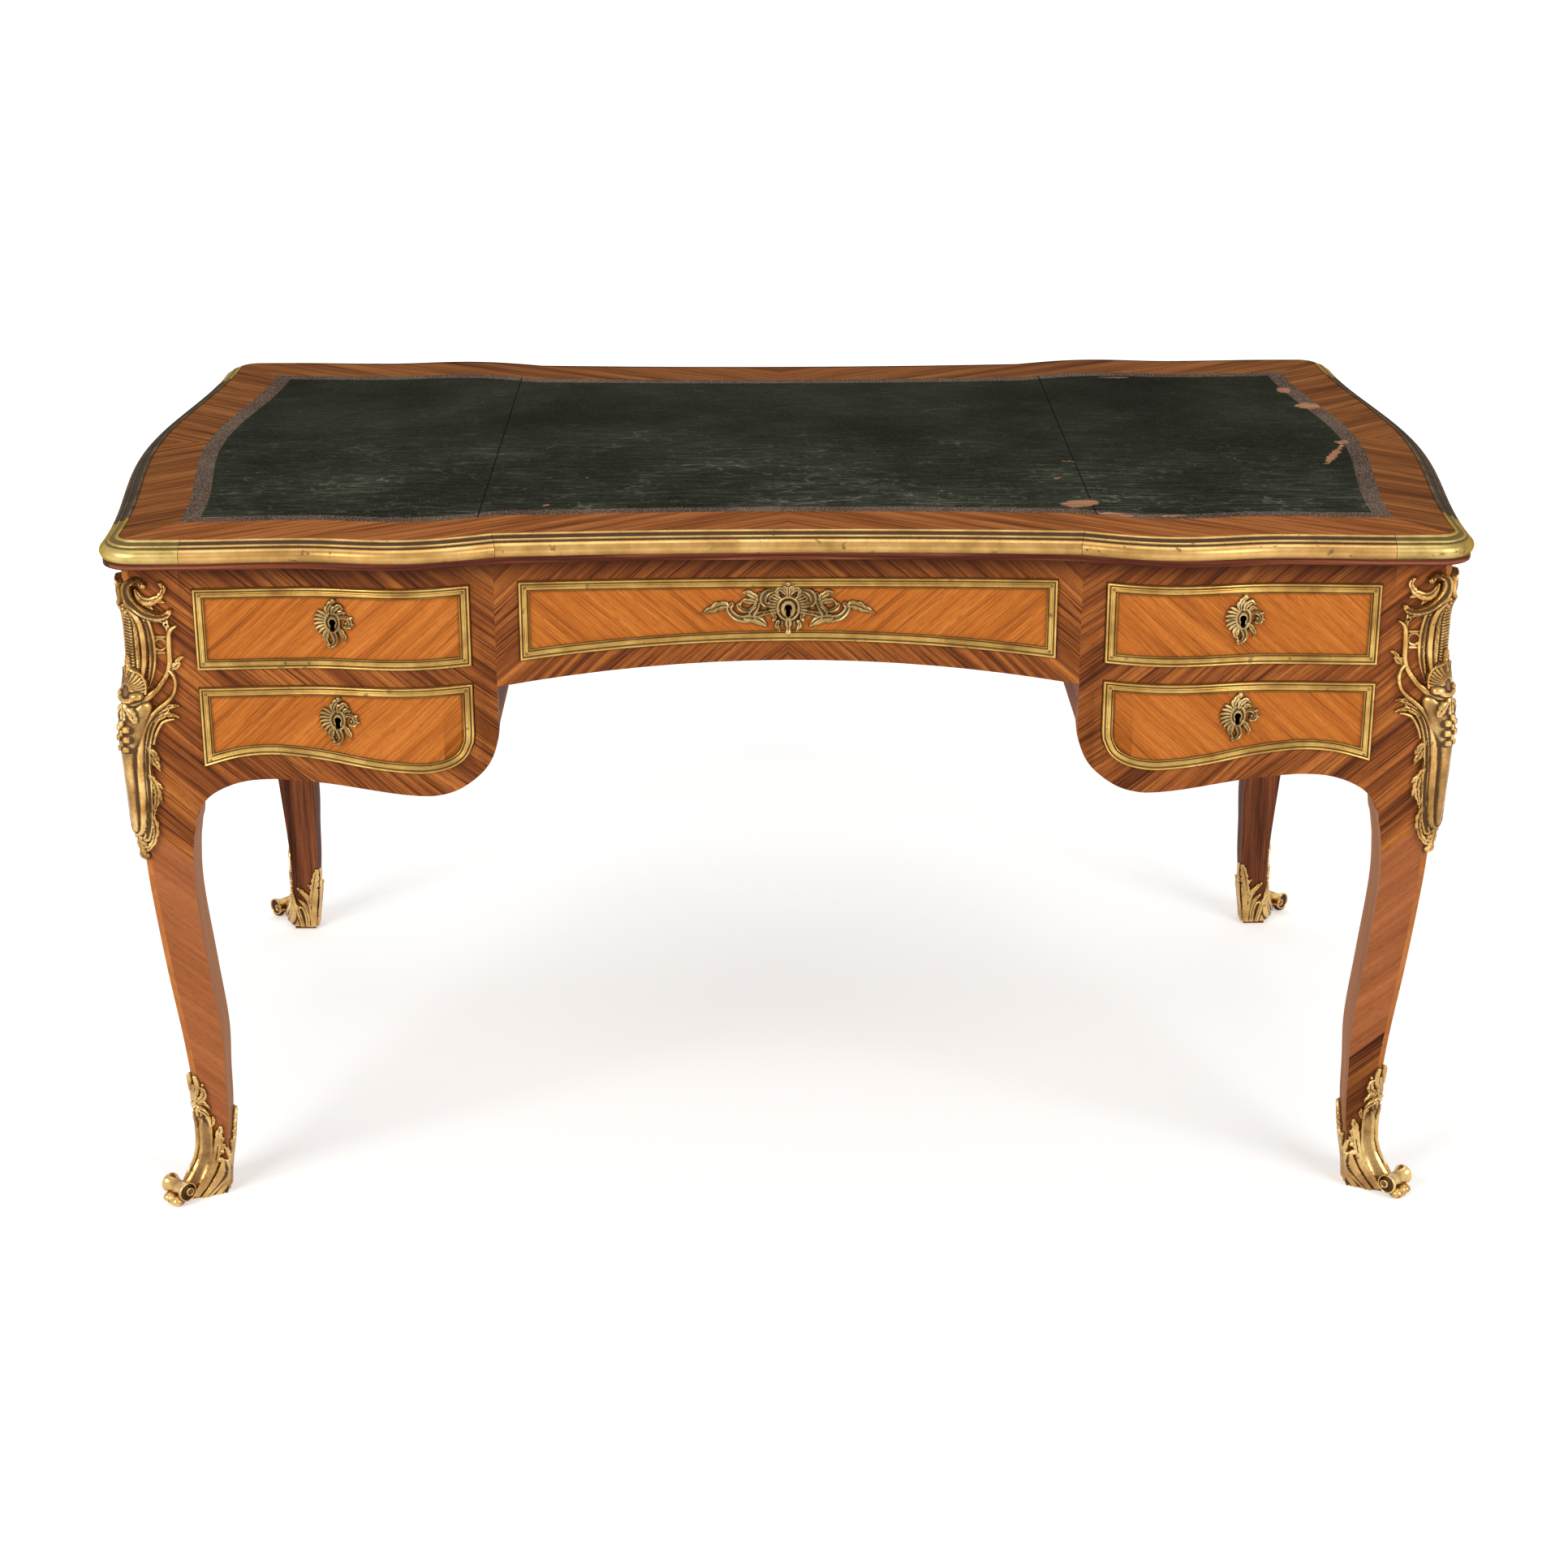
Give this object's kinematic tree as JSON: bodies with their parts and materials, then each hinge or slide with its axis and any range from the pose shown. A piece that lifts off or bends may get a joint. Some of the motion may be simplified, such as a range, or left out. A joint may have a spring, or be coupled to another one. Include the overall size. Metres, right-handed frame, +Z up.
{
  "type": "bureau plat",
  "caption": "Serpentine writing desk on cabriole legs, with leather top, brass rim, sliding drawers with locks, and gilt mounts.",
  "frame": {"origin": "centre of the footprint on the floor, the bottom centre of the bounding box", "axes": "+X along the length, +Z up, the drawers open towards -Y"},
  "size_m": [1.5, 0.892, 0.78],
  "materials": {
    "kingwood_veneer": "dark streaked kingwood veneer, laid diagonally, satin polish",
    "satinwood_veneer": "lighter orange veneer of the drawer fronts, satin polish",
    "solid_hardwood": "stained hardwood under thin veneer, satin polish",
    "reddish_lipping": "reddish brown polished lipping",
    "bare_oak": "bare planed oak, unpolished",
    "green_leather": "worn green-black hide, fine cracks and scratches",
    "brown_leather": "brown tooled hide",
    "gilt_bronze": "aged gilt bronze, burnished on the high parts",
    "brass_rim": "aged filed brass with dark patina in the grooves",
    "lock_brass": "plain brass plate",
    "lock_steel": "plain worn steel"
  },
  "bodies": {
    "carcase": {"top_board": "bare_oak", "top_lipping": "reddish_lipping", "veneer_border": "kingwood_veneer", "leather_tooled_border": "brown_leather", "leather_left": "green_leather", "leather_centre": "green_leather", "leather_right": "green_leather", "rim_front_left": "brass_rim", "rim_front_centre": "brass_rim", "rim_front_right": "brass_rim", "rim_corners": "brass_rim", "rim_ends_and_back": "brass_rim", "leg_front_left": "solid_hardwood", "leg_front_right": "solid_hardwood", "leg_back_left": "solid_hardwood", "leg_back_right": "solid_hardwood", "sabots": "gilt_bronze", "corner_mounts": "gilt_bronze", "front_frame_left": "kingwood_veneer", "front_frame_centre": "kingwood_veneer", "front_frame_right": "kingwood_veneer", "back_frame": "kingwood_veneer", "end_apron_left": "kingwood_veneer", "end_apron_right": "kingwood_veneer", "kneehole_side_left": "kingwood_veneer", "kneehole_side_right": "kingwood_veneer", "drawer_boards_left": "bare_oak", "drawer_boards_right": "bare_oak", "centre_runners": "bare_oak", "blind_mouldings": "brass_rim"},
    "upper_left_drawer": {"upper_left_front": "satinwood_veneer", "upper_left_box": "bare_oak", "upper_left_moulding": "brass_rim", "upper_left_escutcheon": "gilt_bronze", "upper_left_lock": "lock_brass"},
    "upper_left_lock_bolt": {"upper_left_bolt": "lock_steel"},
    "lower_left_drawer": {"lower_left_front": "satinwood_veneer", "lower_left_box": "bare_oak", "lower_left_moulding": "brass_rim", "lower_left_escutcheon": "gilt_bronze", "lower_left_lock": "lock_brass"},
    "lower_left_lock_bolt": {"lower_left_bolt": "lock_steel"},
    "centre_drawer": {"centre_front": "satinwood_veneer", "centre_box": "bare_oak", "centre_moulding": "brass_rim", "centre_escutcheon": "gilt_bronze", "centre_lock": "lock_brass"},
    "centre_lock_bolt": {"centre_bolt": "lock_steel"},
    "upper_right_drawer": {"upper_right_front": "satinwood_veneer", "upper_right_box": "bare_oak", "upper_right_moulding": "brass_rim", "upper_right_escutcheon": "gilt_bronze", "upper_right_lock": "lock_brass"},
    "upper_right_lock_bolt": {"upper_right_bolt": "lock_steel"},
    "lower_right_drawer": {"lower_right_front": "satinwood_veneer", "lower_right_box": "bare_oak", "lower_right_moulding": "brass_rim", "lower_right_escutcheon": "gilt_bronze", "lower_right_lock": "lock_brass"},
    "lower_right_lock_bolt": {"lower_right_bolt": "lock_steel"}
  },
  "joints": [
    {"name": "upper_left_drawer_slide", "type": "slide", "parent": "carcase", "child": "upper_left_drawer", "axis": [0, -1, 0], "range_m": [0, 0.35]},
    {"name": "lower_left_drawer_slide", "type": "slide", "parent": "carcase", "child": "lower_left_drawer", "axis": [0, -1, 0], "range_m": [0, 0.35]},
    {"name": "centre_drawer_slide", "type": "slide", "parent": "carcase", "child": "centre_drawer", "axis": [0, -1, 0], "range_m": [0, 0.35]},
    {"name": "upper_right_drawer_slide", "type": "slide", "parent": "carcase", "child": "upper_right_drawer", "axis": [0, -1, 0], "range_m": [0, 0.35]},
    {"name": "lower_right_drawer_slide", "type": "slide", "parent": "carcase", "child": "lower_right_drawer", "axis": [0, -1, 0], "range_m": [0, 0.35]},
    {"name": "upper_left_bolt_throw", "type": "slide", "parent": "upper_left_drawer", "child": "upper_left_lock_bolt", "axis": [0, 0, 1], "range_m": [0, 0.0065]},
    {"name": "lower_left_bolt_throw", "type": "slide", "parent": "lower_left_drawer", "child": "lower_left_lock_bolt", "axis": [0, 0, 1], "range_m": [0, 0.0065]},
    {"name": "centre_bolt_throw", "type": "slide", "parent": "centre_drawer", "child": "centre_lock_bolt", "axis": [0, 0, 1], "range_m": [0, 0.0065]},
    {"name": "upper_right_bolt_throw", "type": "slide", "parent": "upper_right_drawer", "child": "upper_right_lock_bolt", "axis": [0, 0, 1], "range_m": [0, 0.0065]},
    {"name": "lower_right_bolt_throw", "type": "slide", "parent": "lower_right_drawer", "child": "lower_right_lock_bolt", "axis": [0, 0, 1], "range_m": [0, 0.0065]}
  ]
}
